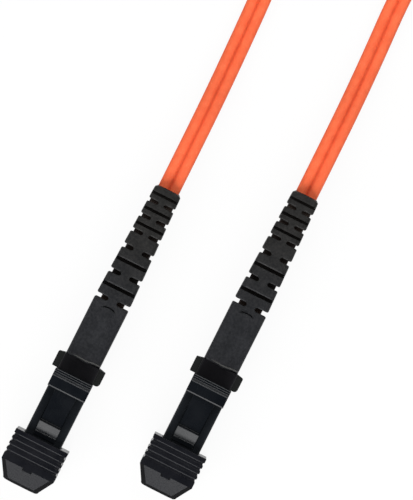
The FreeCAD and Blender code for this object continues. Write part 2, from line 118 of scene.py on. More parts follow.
class Finish:
    # a material, or the world, and the nodes that are added to it
    def __init__(self, owner):
        owner.use_nodes = True
        self.owner = owner
        self.tree = owner.node_tree
        self.tree.nodes.clear()

    def add(self, kind, settings=None, sockets=None, output=0):
        node = self.tree.nodes.new(kind)
        for key, value in (settings or {}).items():
            setattr(node, key, value)
        for key, value in (sockets or {}).items():
            if isinstance(value, Wire):
                self.tree.links.new(value.socket, node.inputs[key])
            else:
                node.inputs[key].default_value = value
        return Wire(self, node.outputs[output]) if node.outputs else None

    def place(self, scale=(1, 1, 1)):
        # the piece's own coordinates, stretched by scale
        point = self.add("ShaderNodeTexCoord", output="Object")
        return self.add("ShaderNodeMapping", sockets={"Vector": point, "Scale": scale})

    def noise(self, size, detail=3.0, rough=0.5, vector=None):
        # noise with a grain of that size in metres
        where = vector or self.place()
        sockets = {"Vector": where, "Scale": 1 / size, "Detail": detail, "Roughness": rough}
        return self.add("ShaderNodeTexNoise", sockets=sockets)

    def fit(self, value, low, high, toLow, toHigh):
        # value from low..high to toLow..toHigh, held at the ends
        sockets = {"Value": value, "From Min": low, "From Max": high, "To Min": toLow, "To Max": toHigh}
        return self.add("ShaderNodeMapRange", dict(clamp=True), sockets)

    def blend(self, share, first, second):
        # a colour between two, by share
        settings = dict(data_type="RGBA")
        return self.add("ShaderNodeMix", settings, {0: share, 6: first, 7: second}, output=2)

    def bump(self, height, depth, strength=1.0):
        sockets = {"Height": height, "Distance": depth, "Strength": strength}
        return self.add("ShaderNodeBump", sockets=sockets)

    def surface(self, **sockets):
        # the shader and its output; an underscore in a socket's name stands for a space
        named = {key.replace("_", " "): value for key, value in sockets.items()}
        shader = self.add("ShaderNodeBsdfPrincipled", sockets=named)
        self.add("ShaderNodeOutputMaterial", sockets={"Surface": shader})
        return self.owner


def colour(red, green, blue):
    return (red, green, blue, 1)


# Finishes
plugSide = 11.25 * mm  # from the middle to each plug's axis
collarEdge = (3.40 * mm, 3.48 * mm)  # from that axis: where the collar ends and its grips start


def mouldedPlastic(name, dark, light, gloss, ior, grain, grainDepth, ears=None, mattShade=None):
    # black moulding: cloudy tone, eroded grain in the gloss and in the bump, a few fine rubs
    # ears: a lighter tone painted on the grips for the light they catch beside the tab's shadow, with
    # added roughness; they stand further from a plug's axis than its collar
    # matt: a darker tone, painted shade, and added roughness of the faces that are marked as matt
    f = Finish(bpy.data.materials.new(name))
    cloud = f.noise(3.2 * mm, detail=4)
    fine = f.noise(grain, detail=2, rough=0.6)
    rub = f.noise(0.5 * mm, detail=3, vector=f.place((1, 0.08, 1)))
    rubbed = f.fit(rub, 0.60, 0.72, 0, 1)
    tone = f.fit(cloud * 0.7 + fine * 0.3, 0.35, 0.65, 0, 1)
    rough = f.fit(cloud, 0.3, 0.7, gloss - 0.05, gloss + 0.06) + rubbed * 0.06
    base = f.blend(tone, dark, light)
    # painted light: the ears get a lighter tone than the collar, which lies in the tab's shadow
    if ears:
        across = f.add("ShaderNodeSeparateXYZ", sockets={0: f.place()})
        onEars = f.fit(abs(abs(across) - plugSide), *collarEdge, 0, 1)
        base = f.blend(onEars, base, ears)
        rough = rough + onEars * 0.2
    # painted shade: marked faces get a darker tone, as well as added roughness
    if mattShade:
        onMattShade = f.add("ShaderNodeAttribute", dict(attribute_name="mattShade"), output="Fac")
        base = f.blend(onMattShade, base, mattShade[0])
        rough = rough + onMattShade * mattShade[1]
    return f.surface(
        Base_Color=base,
        Roughness=rough,
        Normal=f.bump(fine, grainDepth),
        IOR=ior,
    )


def bootRubber():
    # soft black compound: matt, cool in front and warmer to the rear, mottled, with a leathery skin;
    # the cuts get painted warm light inside, and the upper lip a painted highlight
    f = Finish(bpy.data.materials.new("bootRubber"))
    cloud = f.noise(2.4 * mm, detail=4)
    skin = f.noise(0.16 * mm, detail=3, rough=0.65)
    mottle = f.noise(0.45 * mm, detail=3, rough=0.6)
    lightAndTone = f.add("ShaderNodeAttribute", dict(attribute_name="lightAndTone"), output="Vector")
    inside, along, lip = [f.add("ShaderNodeSeparateXYZ", sockets={0: lightAndTone}, output=k) for k in range(3)]
    share = f.fit(cloud * 0.4 + mottle * 0.6, 0.38, 0.62, 0, 1)
    cool = f.blend(share, colour(0.0092, 0.0100, 0.0119), colour(0.0212, 0.0221, 0.0250))
    warm = f.blend(share, colour(0.0104, 0.0104, 0.0100), colour(0.0232, 0.0224, 0.0216))
    tone = f.blend(f.fit(along + mottle * 0.5, 0.5, 1.0, 0, 1), cool, warm)
    # painted light: a warm brown inside the cuts, in place of their shade and the cord's bounced light
    tone = f.blend(inside, tone, colour(0.080, 0.056, 0.047))
    # painted highlight on the upper lip
    tone = f.blend(lip, tone, colour(0.085, 0.085, 0.082))
    return f.surface(
        Base_Color=tone,
        Roughness=f.fit(skin, 0.3, 0.7, 0.50, 0.62),
        Normal=f.bump(skin, 0.012 * mm),
        IOR=1.26,
    )


def jacketOrange():
    # extruded jacket: faint die lines along it, a little mottling, painted shade along the join of the
    # jackets, soft sheen
    f = Finish(bpy.data.materials.new("jacketOrange"))
    along = f.add("ShaderNodeUVMap", dict(uv_map="run"))
    lines = f.add("ShaderNodeMapping", sockets={"Vector": along, "Scale": (1, 0.015, 1)})
    die = f.noise(0.14 * mm, detail=2, vector=lines)
    mottle = f.noise(1.6 * mm, detail=4)
    speck = f.noise(0.22 * mm, detail=1)
    oranges = colour(0.88, 0.142, 0.054), colour(0.95, 0.168, 0.066)
    tone = f.blend(f.fit(mottle, 0.35, 0.65, 0, 1), *oranges)
    tone = f.blend(f.fit(speck, 0.66, 0.74, 0, 0.35), tone, colour(0.98, 0.30, 0.16))
    seamShade = f.add("ShaderNodeAttribute", dict(attribute_name="seamShade"), output="Fac")
    # painted shade in the groove between the jackets
    tone = f.blend(seamShade * 0.5, tone, colour(0.55, 0.055, 0.018))
    return f.surface(
        Base_Color=tone,
        Roughness=f.fit(die, 0.3, 0.7, 0.46, 0.58),
        Normal=f.bump(die * 0.6 + speck * 0.4, 0.008 * mm),
        IOR=1.25,
        Subsurface_Weight=0.08,
        Subsurface_Radius=(1.0, 0.25, 0.1),
        Subsurface_Scale=0.4 * mm,
    )


def ferruleResin():
    # glass-filled resin: dark grey with paler flecks, satin
    f = Finish(bpy.data.materials.new("ferruleResin"))
    fleck = f.noise(0.07 * mm, detail=2, rough=0.7)
    greys = colour(0.022, 0.023, 0.025), colour(0.085, 0.085, 0.088)
    return f.surface(
        Base_Color=f.blend(f.fit(fleck, 0.45, 0.72, 0, 1), *greys),
        Roughness=f.fit(fleck, 0.3, 0.7, 0.34, 0.5),
        Normal=f.bump(fleck, 0.004 * mm),
    )


def drawnMetal(name, base, rough):
    # drawn metal: streaks along the axis and light tarnish
    f = Finish(bpy.data.materials.new(name))
    streak = f.noise(0.12 * mm, detail=3, vector=f.place((1, 0.05, 1)))
    tarnish = f.noise(1.4 * mm, detail=4)
    dull = tuple(0.6 * part for part in base[:3]) + (1,)
    return f.surface(
        Base_Color=f.blend(f.fit(tarnish, 0.4, 0.7, 0, 0.7), base, dull),
        Metallic=1.0,
        Roughness=f.fit(streak, 0.3, 0.7, rough - 0.08, rough + 0.1),
        Normal=f.bump(streak, 0.003 * mm),
    )


def softTint(name, base, pale, rough):
    # small soft pieces: two close tones and a dull skin
    f = Finish(bpy.data.materials.new(name))
    cloud = f.noise(0.5 * mm, detail=3)
    return f.surface(
        Base_Color=f.blend(f.fit(cloud, 0.35, 0.65, 0, 1), base, pale),
        Roughness=f.fit(cloud, 0.3, 0.7, rough - 0.06, rough + 0.06),
        Normal=f.bump(cloud, 0.004 * mm),
    )


def wovenStrap():
    # plain weave: waves along the three axes cross each other, with fuzz over them
    f = Finish(bpy.data.materials.new("wovenStrap"))
    thread = 0.38 * mm
    wave = {"Vector": f.place(), "Scale": 0.31 / thread}
    across, along, side = [f.add("ShaderNodeTexWave", dict(bands_direction=way), wave) for way in "XZY"]
    weave = across * 0.4 + along * 0.3 + side * 0.3
    fuzz = f.noise(0.2 * mm, detail=3)
    yarn = colour(0.008, 0.008, 0.009), colour(0.03, 0.03, 0.033)
    return f.surface(
        Base_Color=f.blend(f.fit(weave + fuzz * 0.4, 0.35, 0.95, 0, 1), *yarn),
        Roughness=f.fit(fuzz, 0.3, 0.7, 0.75, 0.9),
        Normal=f.bump(weave, 0.05 * mm, 0.7),
    )


finishes = {
    "cap_plastic": mouldedPlastic(
        "capPlastic",
        dark=colour(0.0056, 0.0060, 0.0082),
        light=colour(0.0096, 0.0100, 0.0126),
        gloss=0.27,
        ior=1.21,
        grain=0.17 * mm,
        grainDepth=0.012 * mm,
        # painted shade: a darker tone on the cap's marked faces, with added roughness
        mattShade=(colour(0.0028, 0.0028, 0.0034), 0.6),
    ),
    # housing and lever are one plastic in two copies: painted light on the housing and painted shade on
    # the lever, for how light falls on them
    "housing_plastic": mouldedPlastic(
        "housingPlastic",
        dark=colour(0.0080, 0.0095, 0.0118),
        light=colour(0.0110, 0.0130, 0.0155),
        gloss=0.25,
        ior=1.3,
        grain=0.09 * mm,
        grainDepth=0.003 * mm,
    ),
    # painted shade: the lever is a darker copy of the housing's plastic
    "lever_plastic_shaded": mouldedPlastic(
        "leverPlasticShaded",
        dark=colour(0.0034, 0.0044, 0.0062),
        light=colour(0.0048, 0.0060, 0.0080),
        gloss=0.25,
        ior=1.3,
        grain=0.09 * mm,
        grainDepth=0.003 * mm,
    ),
    "shell_plastic": mouldedPlastic(
        "shellPlastic",
        dark=colour(0.0088, 0.0086, 0.0100),
        light=colour(0.0120, 0.0116, 0.0134),
        gloss=0.34,
        ior=1.2,
        grain=0.1 * mm,
        grainDepth=0.005 * mm,
        # painted light: the lighter tone of the ears
        ears=colour(0.0110, 0.0120, 0.0115),
    ),
    "boot_rubber": bootRubber(),
    "ferrule_resin": ferruleResin(),
    "sleeve_rubber": softTint("sleeveRubber", colour(0.30, 0.30, 0.29), colour(0.42, 0.41, 0.39), 0.6),
    "fibre_coating": softTint("fibreCoating", colour(0.72, 0.70, 0.62), colour(0.86, 0.84, 0.78), 0.3),
    "spring_steel": drawnMetal("springSteel", colour(0.62, 0.61, 0.59), 0.28),
    "crimp_brass": drawnMetal("crimpBrass", colour(0.72, 0.52, 0.25), 0.32),
    "cord_jacket": jacketOrange(),
    "tie_strap": wovenStrap(),
}
slots = {part["node"]: part["material_slot"] for part in frame["record"]["subparts"]}
for name, node in nodes.items():
    slot = "ferrule_resin" if name.startswith("spring_seat") else slots[name]  # the seat is resin too
    node.data.materials.clear()
    node.data.materials.append(finishes[slot])
print("finishes made,", len(finishes))


# Surface tools: a shell is its points and its faces
def gridFaces(rows, columns, closed):
    # a quad joins a point with the next row and column; columns close, and rows where closed is true
    index = np.arange(rows * columns).reshape(rows, columns)
    ahead = np.roll(index, -1, axis=0)
    side = np.roll(index, -1, axis=1)
    quads = np.stack([index, ahead, np.roll(ahead, -1, axis=1), side], axis=2)
    return (quads if closed else quads[:-1]).reshape(-1, 4)


def closedTube(points):
    # a shell of rows of points, with one face over the first row and one over the last
    rows, columns = points.shape[:2]
    ends = [list(range(columns)), list(range((rows - 1) * columns, rows * columns))[::-1]]
    return points, gridFaces(rows, columns, False).tolist() + ends


def sectionRing(arcSteps, topSteps, sideSteps):
    # once round a rounded rectangle: where each point's corner centre is, and its direction from there
    centres, ways = [], []
    signs = np.array([(1, 1), (-1, 1), (-1, -1), (1, -1)], float)
    for k in range(4):
        angle = np.linspace(k, k + 1, arcSteps + 1) * np.pi / 2
        share = np.linspace(0, 1, (sideSteps if k % 2 else topSteps) + 2)[1:-1, None]
        straight = signs[k] + (signs[(k + 1) % 4] - signs[k]) * share
        centres += [np.tile(signs[k], (len(angle), 1)), straight]
        turned = np.concatenate([angle, np.full(len(share), angle[-1])])
        ways.append(np.stack([np.cos(turned), np.sin(turned)], axis=1))
    return np.concatenate(centres), np.concatenate(ways)


def carried(ring, along, halfWidth, halfHeight, corner, squash=1.0):
    # the ring carried along the axis: centre share x (half size - corner) + direction x corner;
    # squash is the corner's height over its width
    centres, ways = ring
    corner = np.minimum(corner, np.minimum(halfWidth, halfHeight))[:, None]
    x = centres[:, 0] * (halfWidth[:, None] - corner) + ways[:, 0] * corner
    z = centres[:, 1] * (halfHeight[:, None] - corner * squash) + ways[:, 1] * corner * squash
    return np.stack([x, np.broadcast_to(along[:, None], x.shape), z], axis=2)


def step(value, low, high):
    # smooth step: 0 at low, 1 at high, level at both
    share = np.clip((value - low) / (high - low), 0, 1)
    return share * share * (3 - 2 * share)


def plugPlace(letter):
    # a plug's axis: middle of its housing across, front of its housing, middle of its height
    low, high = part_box("plug_housing_" + letter)
    return np.array([(low.x + high.x) / 2, low.y, (low.z + high.z) / 2])


def makePiece(name, shells, body, slot, replaced, sharpAngle=35, finish=None):
    # joins shells into one mesh, closes poles, smooths all but sharp edges
    points, faces, count = [], [], 0
    for shellPoints, shellFaces in shells:
        points.append(np.asarray(shellPoints).reshape(-1, 3))
        faces += [[count + corner for corner in face] for face in list(shellFaces)]
        count += len(points[-1])
    mesh = bpy.data.meshes.new(name)
    mesh.from_pydata(np.concatenate(points).tolist(), [], faces)
    tidy = bmesh.new()
    tidy.from_mesh(mesh)
    bmesh.ops.remove_doubles(tidy, verts=tidy.verts, dist=1e-7)
    tidy.to_mesh(mesh)
    tidy.free()
    mesh.shade_smooth()
    mesh.set_sharp_from_angle(angle=math.radians(sharpAngle))
    mesh.materials.append(finishes[finish or slot])
    piece = bpy.data.objects.new(name, mesh)
    scene.collection.objects.link(piece)
    weighted = piece.modifiers.new("weighted", "WEIGHTED_NORMAL")
    weighted.keep_sharp = True
    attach(piece, body)
    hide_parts(*replaced)
    return piece


def placed(shells, letter):
    # shells in mm about a plug's axis, moved to that plug
    return [(points * mm + plugPlace(letter), faces) for points, faces in shells]


# Cord: two jackets side by side, from one boot through the tied coil to the other boot
cord = dict(
    jacket=2.03 * mm,  # across each
    pitch=2.03 * mm,  # from middle to middle
    web=0.85 * mm,  # thickness
    seamShade=(0.06 * mm, 0.34 * mm),  # from the middle: where its painted shade starts to fade, and ends
    arcSteps=24,  # points round each jacket
    length=0.945,
    inside=30.0 * mm,  # from the plug's front: where it starts, and where it starts to bend
    bend=66.15 * mm,
    leadA=np.array([(-11.6, 50.0, 1.4), (-12.3, 68.0, 1.05), (-14.2, 82.0, 1.1)]) * mm,
    leadB=np.array([(10.95, 60.5, 1.4), (10.15, 76.0, 1.05), (11.2, 88.0, 2.2)]) * mm,
    coilMiddle=(-3.4 * mm, 110.0 * mm),
    coilRadius=21.5 * mm,
    columns=3,
    columnPitch=2.05 * mm,
    layerHeights=(2.08 * mm, 6.24 * mm),
    columnStep=0.75,  # share of a turn after which it moves on to the next column
    climb=0.2,  # turns before and after the middle in which it climbs to the upper layer
    wholeTurns=5,
    pointsPerTurn=16,
    tieLift=0.5 * mm,
    tieReach=(0.2, 0.75),  # radians from the tie: lifted up to the first, down from the second
    twistFrom=80.0 * mm,  # where the pair starts to turn on edge, and how far that takes
    twistRun=28.0 * mm,
)


def leadStart(letter):
    x, y, z = plugPlace(letter)
    return np.array([(x, y + cord["inside"], z), (x, y + cord["bend"], z)])


def outerRadius():
    return cord["coilRadius"] + (cord["columns"] - 1) / 2 * cord["columnPitch"]


def tangentAngle(point, side):
    # where a line from the point touches the outer turn: bearing +- acos(radius over distance)
    away = point[:2] - np.array(cord["coilMiddle"])
    return math.atan2(away[1], away[0]) + side * math.acos(outerRadius() / np.hypot(*away))


def coilPoints():
    # clockwise: in along the lower layer, column by column, then up and out along the upper one;
    # a point is the turn's radius at its angle, at its layer's height
    first = tangentAngle(cord["leadA"][-1], -1)
    last = tangentAngle(cord["leadB"][-1], 1)
    sweep = (first - last) % (2 * np.pi) + 2 * np.pi * cord["wholeTurns"]
    turns = np.linspace(0, sweep / (2 * np.pi), int(sweep / (2 * np.pi) * cord["pointsPerTurn"]))
    half = turns[-1] / 2
    depth = half - np.abs(turns - half)
    column = np.floor(depth) + step(depth % 1, cord["columnStep"], 1)
    radius = outerRadius() - np.minimum(column, cord["columns"] - 1) * cord["columnPitch"]
    angle = first - turns * 2 * np.pi
    low, high = cord["layerHeights"]
    offTie = np.abs((angle - np.pi / 2 + np.pi) % (2 * np.pi) - np.pi)
    z = low + (high - low) * step(turns, half - cord["climb"], half + cord["climb"])
    z = z + cord["tieLift"] * (1 - step(offTie, *cord["tieReach"]))
    x = cord["coilMiddle"][0] + radius * np.cos(angle)
    y = cord["coilMiddle"][1] + radius * np.sin(angle)
    return np.stack([x, y, z], axis=1)


def smoothLine(points):
    # points along the NURBS spline that has these as its control points
    curve = bpy.data.curves.new("route", "CURVE")
    curve.dimensions = "3D"
    spline = curve.splines.new("NURBS")
    spline.points.add(len(points) - 1)
    spline.points.foreach_set("co", np.concatenate([points, np.ones((len(points), 1))], axis=1).ravel())
    spline.order_u = 3
    spline.use_endpoint_u = True
    spline.resolution_u = 12
    holder = bpy.data.objects.new("route", curve)
    mesh = bpy.data.meshes.new_from_object(holder)
    line = np.zeros(len(mesh.vertices) * 3)
    mesh.vertices.foreach_get("co", line)
    bpy.data.objects.remove(holder)
    bpy.data.meshes.remove(mesh)
    return line.reshape(-1, 3)


def zipSection():
    # two circles side by side, each open by the angle that the web's half thickness takes
    radius, middle = cord["jacket"] / 2, cord["pitch"] / 2
    reach = math.pi - math.asin(cord["web"] / 2 / radius)
    right = np.linspace(-reach, reach, cord["arcSteps"])
    left = np.linspace(np.pi - reach, np.pi + reach, cord["arcSteps"])
    x = np.concatenate([radius * np.cos(right) + middle, radius * np.cos(left) - middle])
    return np.stack([x, radius * np.sin(np.concatenate([right, left]))], axis=1)


def runMap(mesh, section, line):
    # UV in metres: u is the way round the section, v the way along the line; the two ends get none
    around = np.linalg.norm(np.roll(section, -1, axis=0) - section, axis=1)
    around = np.concatenate([[0], np.cumsum(around)])
    along = np.concatenate([[0], np.cumsum(np.linalg.norm(np.diff(line, axis=0), axis=1))])
    rows, columns = len(line) - 1, len(section)
    u = np.stack([around[:-1], around[:-1], around[1:], around[1:]], axis=1)
    v = np.stack([along[:-1], along[1:], along[1:], along[:-1]], axis=1)
    sides = np.zeros((rows, columns, 4, 2))
    sides[..., 0] = u[None]
    sides[..., 1] = v[:, None]
    spare = np.zeros(len(mesh.loops) * 2 - sides.size)
    layer = mesh.uv_layers.new(name="run")
    layer.data.foreach_set("uv", np.concatenate([sides.ravel(), spare]))


def makeCord():
    # the zip section carried along the route, turned about it by an angle
    wayIn = [leadStart("a"), cord["leadA"]]
    wayOut = [cord["leadB"][::-1], leadStart("b")[::-1]]
    line = smoothLine(np.concatenate(wayIn + [coilPoints()] + wayOut))
    forward = np.gradient(line, axis=0)
    forward /= np.linalg.norm(forward, axis=1)[:, None]
    level = np.cross(forward, (0, 0, 1))
    level /= np.linalg.norm(level, axis=1)[:, None]
    upright = np.cross(level, forward)
    # lies flat in view, then stands on edge for the coil as far as its height allows
    radius = cord["jacket"] / 2
    past = (line[:, 1] - cord["twistFrom"]) / cord["twistRun"]
    room = np.clip((line[:, 2] - radius) / (cord["pitch"] / 2), 0, 1)
    turn = np.minimum(step(past, 0, 1) * np.pi / 2, np.arcsin(room))[:, None]
    wide = level * np.cos(turn) + upright * np.sin(turn)
    tall = upright * np.cos(turn) - level * np.sin(turn)
    section = zipSection()
    points = line[:, None] + wide[:, None] * section[:, :1] + tall[:, None] * section[:, 1:]
    stoodFor = ["cord_lead_a", "cord_lead_b", "cord_coil"]
    piece = makePiece("zip_cord", [closedTube(points)], "cord_and_plugs", "cord_jacket", stoodFor, 60)
    runMap(piece.data, section, line)
    # painted shade along the join of the jackets, fading away from the middle
    seamShade = np.tile(1 - step(np.abs(section[:, 0]), *cord["seamShade"]), len(line))
    piece.data.attributes.new("seamShade", "FLOAT", "POINT").data.foreach_set("value", seamShade)
    return piece, line


# Tie: a woven strap once round the coil, its end laid over its start; sizes in mm
tie = dict(
    width=6.0,
    thickness=0.4,
    corner=0.15,
    around=(3.2, 4.165, 1.0),  # half depth, half height and corner of what it holds
    middle=4.635,  # height of that section's middle
    lap=(15, 18, 6),  # points of the loop: where the strap starts, how many it overlaps, and climbs over
    gap=0.02,  # between its end and its start
)


def makeTie():
    # a flat section carried round a rounded rectangle and on over its own start, bent with the coil:
    # the angle across is width over the coil's radius
    centres, ways = sectionRing(8, 30, 30)
    thick = tie["thickness"]
    halfDeep, halfTall, corner = tie["around"]
    loop = centres * (np.array([halfDeep, halfTall]) - corner) + ways * (corner + thick / 2)
    start, over, climb = tie["lap"]
    order = np.arange(start, start + len(loop) + over)
    lift = (thick + tie["gap"]) * step(order, start + len(loop) - climb, start + len(loop))
    out = ways[order % len(loop)]
    path = loop[order % len(loop)] + out * lift[:, None]
    half = np.array([[tie["width"], thick]]).T / 2
    section = carried(sectionRing(3, 12, 1), np.zeros(1), *half, np.array([tie["corner"]]))[0]
    turnRadius = cord["coilRadius"] / mm
    radius = turnRadius + path[:, :1] + out[:, :1] * section[:, 2]
    height = tie["middle"] + path[:, 1:] + out[:, 1:] * section[:, 2]
    angle = -section[:, 0] / turnRadius
    points = np.stack([radius * np.sin(angle), radius * np.cos(angle), height], axis=2) * mm
    points += np.array([*cord["coilMiddle"], 0])
    return makePiece("coil_strap", [closedTube(points)], "cord_and_plugs", "tie_strap", ["coil_tie"], 40)


zipCord, cordLine = makeCord()
coilStrap = makeTie()
bootEnd = 57.15  # mm from the plug's front
print("cord laid,", len(cordLine), "points")


# Boot: rubber rings joined by webs, cut in turn from the two sides and from above and below; sizes in mm
boot = dict(
    front=22.9,  # from the plug's front
    boxEnd=34.5,
    end=bootEnd,
    size=(6.65, 6.2),  # width and height
    endSize=(5.03, 3.9),
    corner=0.9,
    rowPitch=0.11,  # between rows of points
    upperSide=0.6,  # share of the half height above which a point is on top
    bore=(4.18, 2.12, 1.0),  # width, height, corner
    core=[(29.8, 4.5), (36.2, 4.5), (37.4, 5.1), (56.8, 4.4)],  # unbroken sleeve: place, width
    coreSize=(2.52, 0.35),  # its height and corner
    pocket=(4.84, 6.9),  # round room for the crimp ring, and its depth
    lip=(0.5, 0.02, 0.4),  # rounding at the front: along, across, upright
    edge=(0.3, 0.28, 0.2),  # rounding at each cut, on its cord side
    rearEdge=(0.24, 0.24, 0.12),  # the same on its nose side
    tip=(0.16, 0.1, 0.16),  # rounding at the end
    tipBulge=(0.4, 1.2),  # how far the end's corners lie back, and over what length
    lipBead=(0.36, 0.17, 0.13),  # place behind the front, half width, height
    lipHeights=(1.8, 2.6),  # between which the upper lip's bead and stray come in
    lipBack=(0.2, 1.0, 2.4),  # back at one side: how far, from where to where
    lipDip=(0.15, 0.3, 0.8),  # forward near the middle: how far, where, half width
    lipRun=0.9,  # behind the front, where the stray ends
    lipHighlight=(2.0, 2.7, -2.6, -0.6),  # where its painted highlight comes in: upwards, and across
    panel=(1.45, 32.75, 0.6, 0.18),  # half width, where its round end starts, that end's length, height
    panelStart=(0.1, 0.4),  # where it rises, behind the front
    panelSlopes=(0.45, 0.05, 0.05),  # inside its outline at the sides and at the end, and outside it
    panelRows=(0.2, 1.3, 30),  # finer rows at its round end: from, to, how many
    panelLine=(0.25, 0.24, 0.3),  # groove behind that end: offset, half width, depth
    panelLineEnds=(0.9, 1.25),  # where that groove fades, from the middle
    # start, count, pitch, slot from the sides, slot from above, web, bevel of the slot from above
    groups=[(34.8, 5, 2.5, 0.78, 0.62, 1.7, 0.11), (47.98, 6, 1.53, 0.62, 0.5, 1.05, 0.03)],
    cutFloor=1.3,  # half height left in a slot from above
    cutShade=0.85,  # how far its floor is kept free of the painted light inside the cuts
    cutLean=0.06,  # of each of its walls
    cutBevel=0.2,  # length of the bevel on its cord side
    webFit=(0.3, 0.004, 0.02, 0.05),  # reach into the rings, below the skin, above the bore, corner
    skinShare=(0.72, 0.88),  # of the half sizes: painted light inside a cut up to the first, skin from the second
)


def bootHalf(along):
    # half width and half height, straight to the end of the box and then evenly narrower
    share = np.clip((along - boot["boxEnd"]) / (boot["end"] - boot["boxEnd"]), 0, 1)
    return [(a + (b - a) * share) / 2 for a, b in zip(boot["size"], boot["endSize"])]


def lipWave(x):
    # how far the upper lip strays along: a smooth step back at one side less a bell near the middle
    back, backFrom, backTo = boot["lipBack"]
    dip, dipMiddle, dipHalf = boot["lipDip"]
    return back * step(x, backFrom, backTo) - dip * np.exp(-(((x - dipMiddle) / dipHalf) ** 2))


def bootCuts():
    # centre, width and web, or bevel, of each cut; from the sides and from above in turn
    sideCuts, crossCuts = [], []
    for start, count, pitch, sideSlot, crossSlot, web, bevel in boot["groups"]:
        places = start + pitch * np.arange(count)
        sideCuts += [(y, sideSlot, web) for y in places[::2]]
        crossCuts += [(y, crossSlot, bevel) for y in places[1::2]]
    return sideCuts, crossCuts


def bootRing(start, stop, crossCuts, startRound, stopRound):
    # outside: half sizes less an ellipse's quarter at each end; then back through the bore
    cuts = [cut for cut in crossCuts if start < cut[0] < stop]
    quarter = 1 - np.cos(np.linspace(0, np.pi / 2, 8))
    rows = [start + startRound[0] * quarter, stop - stopRound[0] * quarter]
    count = int((stop - start) / boot["rowPitch"])
    rows.append(np.linspace(start + startRound[0], stop - stopRound[0], count))
    if start == boot["front"]:
        rows.append(boot["panel"][1] + np.linspace(*boot["panelRows"]))
    lean, bevelRun = boot["cutLean"], boot["cutBevel"]
    for middle, slot, bevel in cuts:
        rows += [middle + wall + lean * np.linspace(-1, 0, 5) for wall in (-slot / 2, slot / 2)]
        rows.append(middle + slot / 2 + bevelRun * np.linspace(0, 1, 6))
    along = np.unique(np.round(np.concatenate(rows), 4))
    drop = [
        1 - np.sqrt(1 - (1 - np.clip(gap / size[0], 0, 1)) ** 2)
        for gap, size in ((along - start, startRound), (stop - along, stopRound))
    ]
    halfWidth, halfHeight = bootHalf(along)
    halfWidth = halfWidth - drop[0] * startRound[1] - drop[1] * stopRound[1]
    halfHeight = halfHeight - drop[0] * startRound[2] - drop[1] * stopRound[2]
    ring = sectionRing(10, 44, 6)
    outer = carried(ring, along, halfWidth, halfHeight, np.full(len(along), boot["corner"]))
    x, y, z = outer[..., 0], outer[..., 1], outer[..., 2]
    for middle, slot, bevel in cuts:
        off = y - middle
        slant = (off > 0) * (1 - np.clip((off - slot / 2) / bevelRun, 0, 1))
        z[...] = np.sign(z) * np.minimum(np.abs(z), halfHeight[:, None] - bevel * slant)
        inSlot = step(off, -slot / 2 - lean, -slot / 2) * (1 - step(off, slot / 2 - lean, slot / 2))
        z += inSlot * (np.sign(z) * np.minimum(np.abs(z), boot["cutFloor"]) - z)
    if start == boot["front"]:
        upper = z > halfHeight[:, None] * boot["upperSide"]
        half, roundFrom, endLength, rise = boot["panel"]
        sideSlope, endSlope, outSlope = boot["panelSlopes"]
        away = np.hypot(x, np.maximum(y - roundFrom, 0) * half / endLength)
        slope = sideSlope + (endSlope - sideSlope) * step(y, roundFrom, roundFrom + endLength / 2)
        onPanel = 1 - step(away, half - slope, half + outSlope)
        onPanel = onPanel * step(y, *(start + rising for rising in boot["panelStart"]))
        z += rise * onPanel * upper
        beadPlace, beadHalf, bead = boot["lipBead"]
        onBead = 1 - step(np.abs(y - start - beadPlace), 0, beadHalf)
        z += bead * onBead * step(z, *boot["lipHeights"])
        offset, lineHalf, lineDepth = boot["panelLine"]
        onLine = 1 - step(np.abs(away - half - offset), 0, lineHalf)
        onLine = onLine * (1 - step(np.abs(x), *boot["panelLineEnds"]))
        z -= lineDepth * onLine * (y > roundFrom) * upper
        nearLip = 1 - step(y, start, start + boot["lipRun"])
        y += lipWave(x) * nearLip * step(z, *boot["lipHeights"])
    if stop == boot["end"]:
        bulge, bulgeRun = boot["tipBulge"]
        y -= bulge * (x / halfWidth[:, None].max()) ** 2 * step(y, stop - bulgeRun, stop)
    innerY, innerSize = [stop, start], [boot["bore"]] * 2
    if start == boot["front"]:
        wide, deep = boot["pocket"]
        innerY = [stop, start + deep, start + deep, start]
        innerSize = [boot["bore"]] * 2 + [(wide, wide, wide / 2)] * 2
    width, height, corner = np.array(innerSize).T
    inner = carried(ring, np.array(innerY), width / 2, height / 2, corner)
    points = np.concatenate([outer, inner])
    return points, gridFaces(len(points), points.shape[1], True)


def bootWeb(middle, slot, web, side):
    # a bar across a slot: half width is web/2 + r - sqrt(r² - t²), which makes the slot's end round
    grip, belowSkin, aboveBore, corner = boot["webFit"]
    r = slot / 2
    t = np.linspace(-r - grip, r + grip, 27)
    halfWidth = web / 2 + r - np.sqrt(np.clip(r * r - t * t, 0, None))
    top = bootHalf(middle + t)[1] - belowSkin
    foot = boot["bore"][1] / 2 + aboveBore
    rows = np.concatenate([t[:1], t, t[-1:]])
    shrink = np.ones(len(rows))
    shrink[[0, -1]] = 0
    pad = np.concatenate([[0], np.arange(len(t)), [len(t) - 1]])
    points = carried(
        sectionRing(3, 6, 4),
        middle + rows,
        halfWidth[pad] * shrink,
        ((top - foot) / 2)[pad] * shrink,
        np.full(len(rows), corner),
    )
    points[..., 2] += side * ((top + foot) / 2)[pad][:, None]
    return points, gridFaces(len(points), points.shape[1], False)


def bootCore():
    # a closed sleeve: along its outside and back through the bore, from its last place to its first
    rows = [(place, width, *boot["coreSize"]) for place, width in boot["core"]]
    rows += [(boot["core"][end][0], *boot["bore"]) for end in (-1, 0)]
    along, width, height, corner = np.array(rows).T
    points = carried(sectionRing(6, 4, 2), along, width / 2, height / 2, corner)
    return points, gridFaces(len(points), points.shape[1], True)


